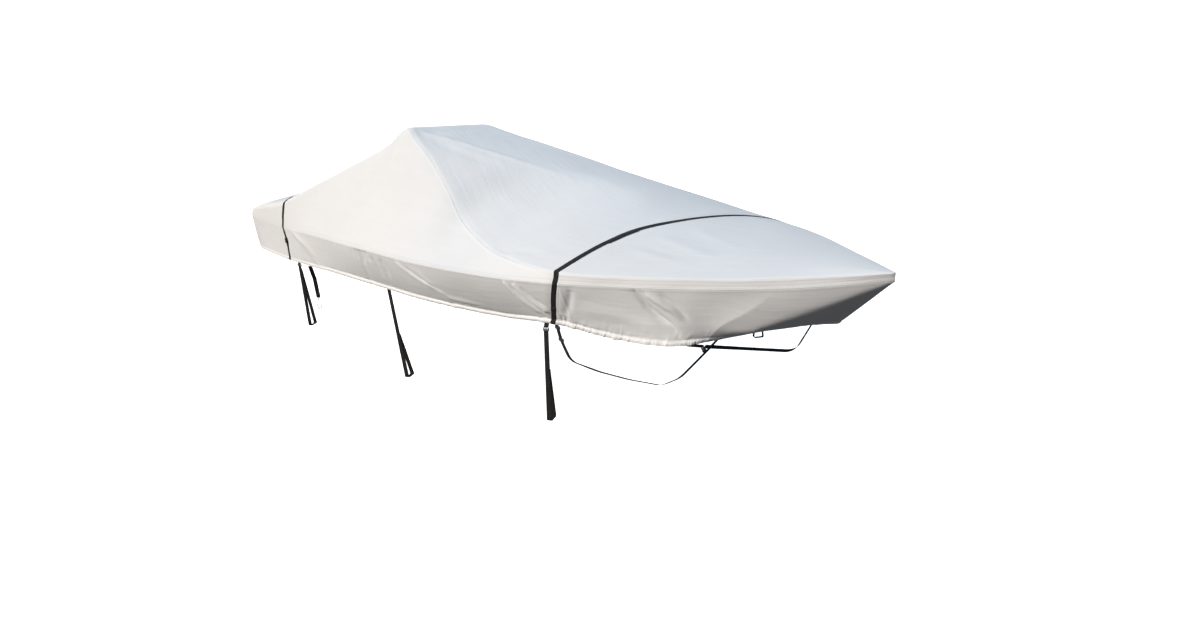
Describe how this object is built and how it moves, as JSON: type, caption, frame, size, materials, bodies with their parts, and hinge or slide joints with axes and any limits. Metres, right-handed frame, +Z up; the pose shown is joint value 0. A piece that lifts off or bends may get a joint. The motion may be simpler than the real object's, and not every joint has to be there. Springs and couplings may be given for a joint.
{
  "type": "boat console cover",
  "caption": "Fitted cloth storage cover for a small open boat, raised over a side console, with skirts, straps over the deck and under the hull, and loops for a trailer's rails.",
  "frame": {"origin": "on the inner face of the top panel at the highest point of the console ridge", "axes": "+X towards the bow, +Y to port, +Z up"},
  "size_m": [4.2898, 1.9076, 1.3178],
  "materials": {
    "cloth": "light grey coated polyester, fine plain weave, matte with a faint sheen",
    "webbing": "black woven polyester webbing",
    "black_plastic": "black moulded nylon",
    "steel": "plated wire and pressed steel"
  },
  "bodies": {
    "root": {"top_panel": "cloth", "side_panel_starboard": "cloth", "side_panel_port": "cloth", "skirt_starboard_aft": "cloth", "skirt_starboard_forward": "cloth", "skirt_port_aft": "cloth", "skirt_port_forward": "cloth", "transom_panel": "cloth", "strap_forward": "webbing", "strap_aft": "webbing", "keeper_forward": "webbing", "strap_aft_doubling": "webbing", "strap_under": "webbing", "tie_aft_starboard": "webbing", "tie_middle_starboard": "webbing", "tie_forward_starboard": "webbing", "tie_aft_port": "webbing", "tie_middle_port": "webbing", "tie_forward_port": "webbing", "bow_strap": "webbing", "bow_tab_starboard": "webbing", "bow_tab_port": "webbing", "tail_aft": "webbing", "slider_aft": "black_plastic", "ring_aft": "black_plastic", "bow_knob": "black_plastic", "slider_forward_upper": "steel", "slider_forward_lower": "steel", "tie_slider_aft_starboard": "steel", "tie_slider_forward_starboard": "steel", "tie_slider_aft_port": "steel", "tie_slider_forward_port": "steel", "tail_hook": "steel"}
  },
  "joints": []
}
